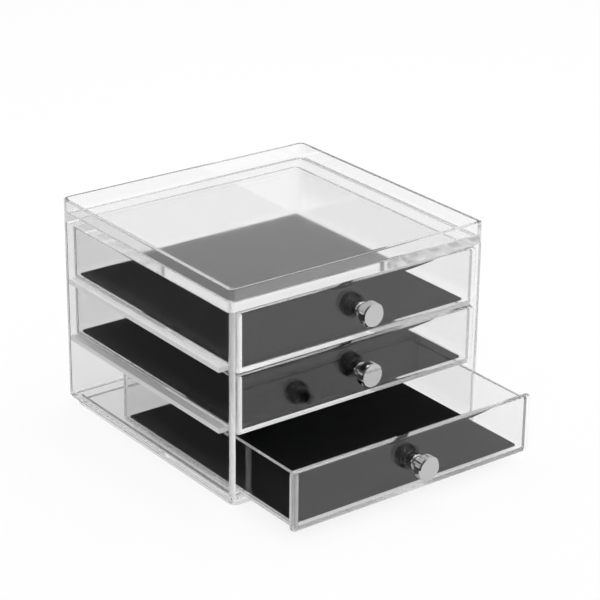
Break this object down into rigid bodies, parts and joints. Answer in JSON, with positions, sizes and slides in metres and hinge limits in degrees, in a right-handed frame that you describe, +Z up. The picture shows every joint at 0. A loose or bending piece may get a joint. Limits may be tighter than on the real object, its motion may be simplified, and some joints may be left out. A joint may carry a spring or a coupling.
{
  "type": "drawer organizer",
  "caption": "Clear plastic jewellery box with stacked sliding drawers, chrome knobs, black drawer pads and a shallow rimmed tray on top, for small things on a vanity.",
  "frame": {"origin": "middle of the underside, on the plane that the plinth stands on, centred on the case", "axes": "+Z up, the drawers face and pull out along -Y, +X to the right seen from the front"},
  "size_m": [0.17, 0.227, 0.127],
  "materials": {
    "clear_plastic": "clear, polished moulding",
    "black_pad": "matt black felted sheet",
    "chrome": "polished chrome plate",
    "steel": "blackened steel"
  },
  "bodies": {
    "case": {"case_body": "clear_plastic", "top_tray": "clear_plastic", "runner_middle_left": "clear_plastic", "runner_middle_right": "clear_plastic", "runner_top_left": "clear_plastic", "runner_top_right": "clear_plastic"},
    "bottom_drawer": {"drawer_bottom": "clear_plastic", "pad_bottom": "black_pad", "knob_bottom": "chrome", "screw_bottom": "steel"},
    "middle_drawer": {"drawer_middle": "clear_plastic", "pad_middle": "black_pad", "knob_middle": "chrome", "screw_middle": "steel"},
    "top_drawer": {"drawer_top": "clear_plastic", "pad_top": "black_pad", "knob_top": "chrome", "screw_top": "steel"}
  },
  "joints": [
    {"name": "bottom_drawer_slide", "type": "slide", "parent": "case", "child": "bottom_drawer", "axis": [0, -1, 0], "range_m": [-0.0495, 0.0705]},
    {"name": "middle_drawer_slide", "type": "slide", "parent": "case", "child": "middle_drawer", "axis": [0, -1, 0], "range_m": [0, 0.12]},
    {"name": "top_drawer_slide", "type": "slide", "parent": "case", "child": "top_drawer", "axis": [0, -1, 0], "range_m": [0, 0.12]}
  ]
}
